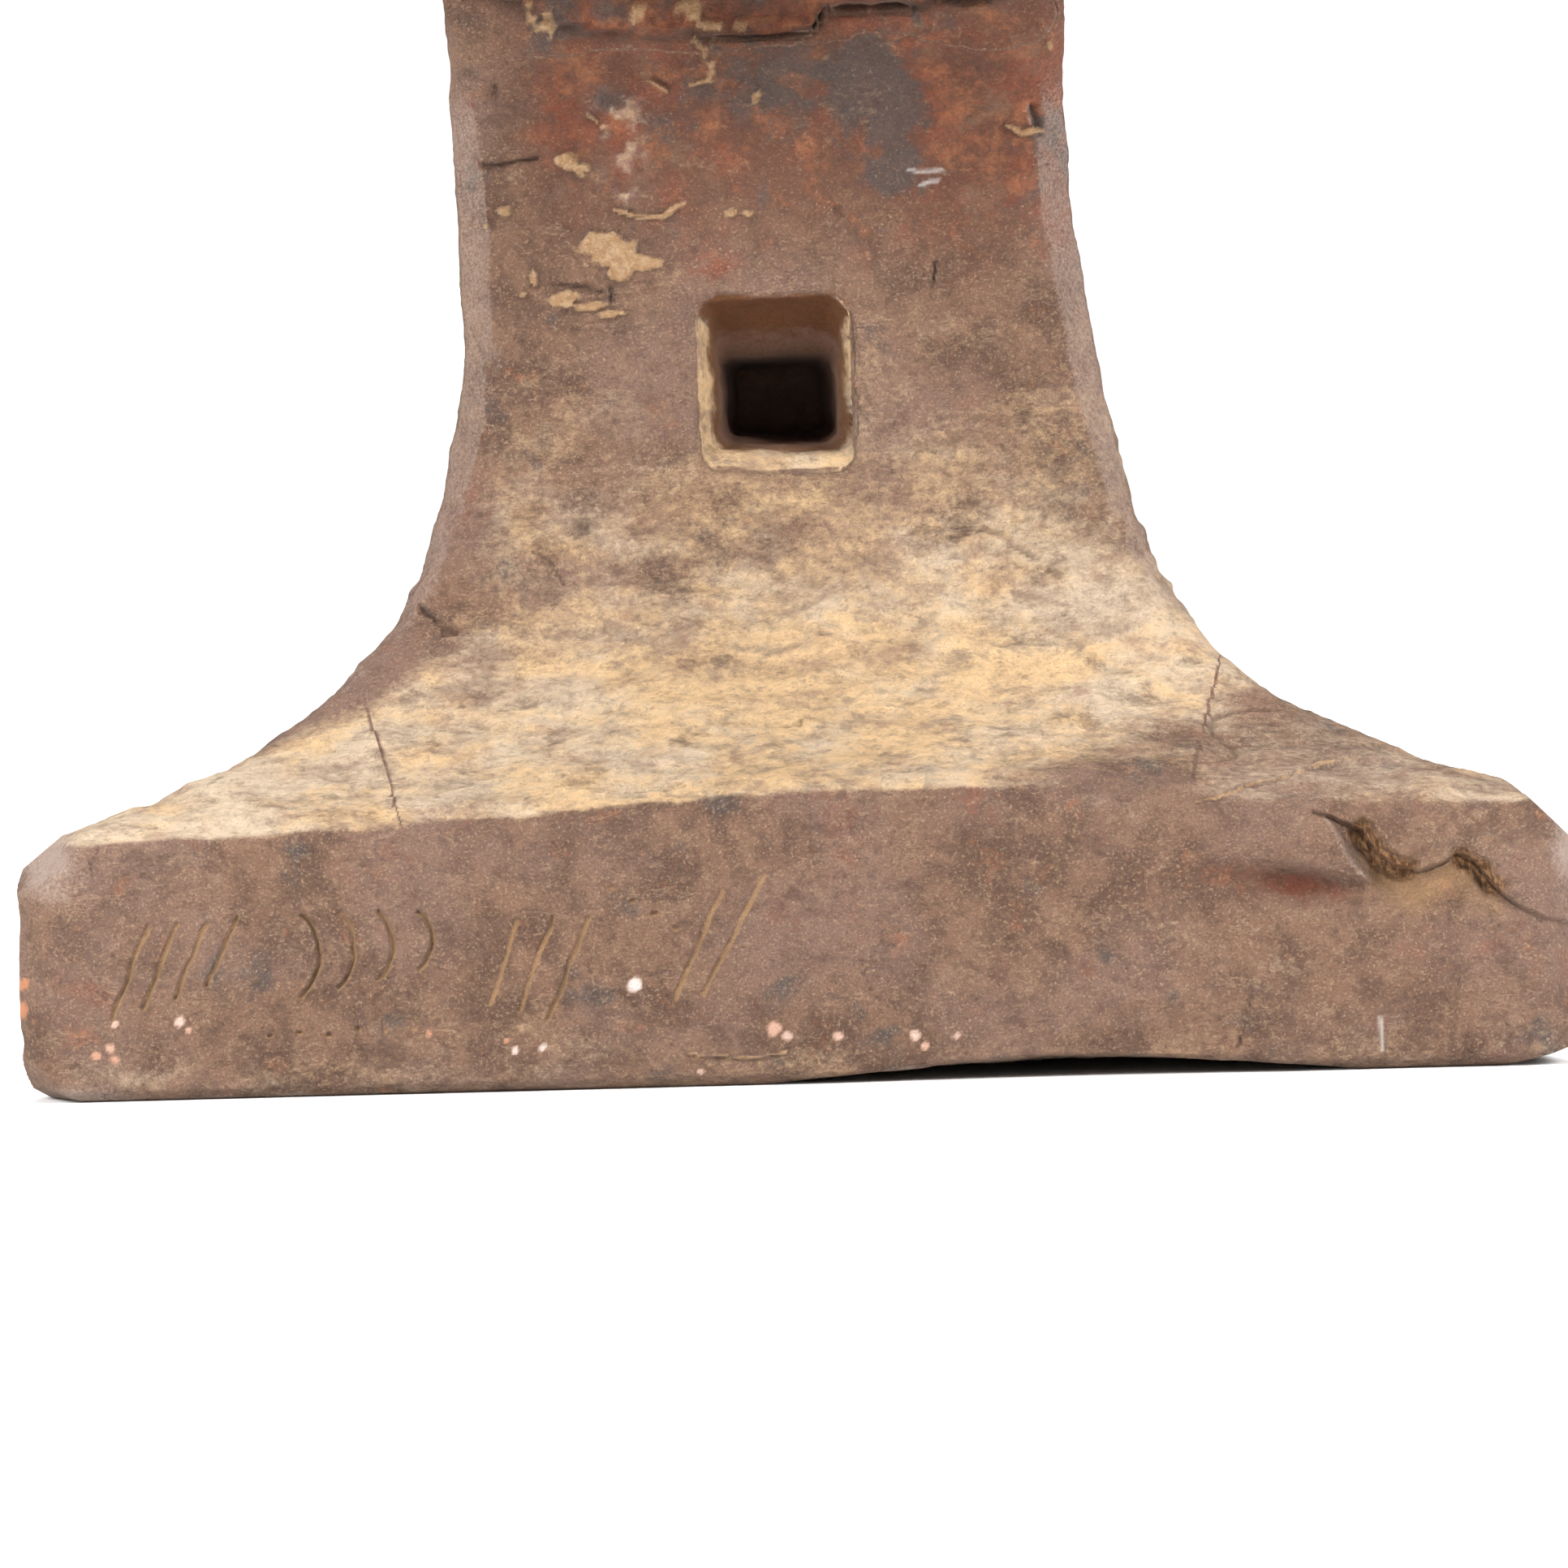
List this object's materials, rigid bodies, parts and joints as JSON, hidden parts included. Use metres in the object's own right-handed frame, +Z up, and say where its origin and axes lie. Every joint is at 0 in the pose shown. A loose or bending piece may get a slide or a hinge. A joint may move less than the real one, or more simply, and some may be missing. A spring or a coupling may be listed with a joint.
{
  "type": "anvil",
  "caption": "Smith's anvil of the London pattern: forged wrought iron with a steel face, table, round horn, hardy and pritchel holes and a spread foot.",
  "frame": {"origin": "middle of the foot's underside", "axes": "+Z up to the working face, +Y from the horn towards the heel, +X to the right seen from the horn"},
  "size_m": [0.2334, 0.6498, 0.275],
  "materials": {
    "wrought_iron": "rusted and dusty, hammer-forged",
    "face_steel": "worn, thinly rusted"
  },
  "bodies": {
    "root": {"core_block": "wrought_iron", "horn": "wrought_iron", "heel": "wrought_iron", "front_left_foot_corner": "wrought_iron", "front_right_foot_corner": "wrought_iron", "rear_left_foot_corner": "wrought_iron", "rear_right_foot_corner": "wrought_iron", "face_plate": "face_steel"}
  },
  "joints": []
}
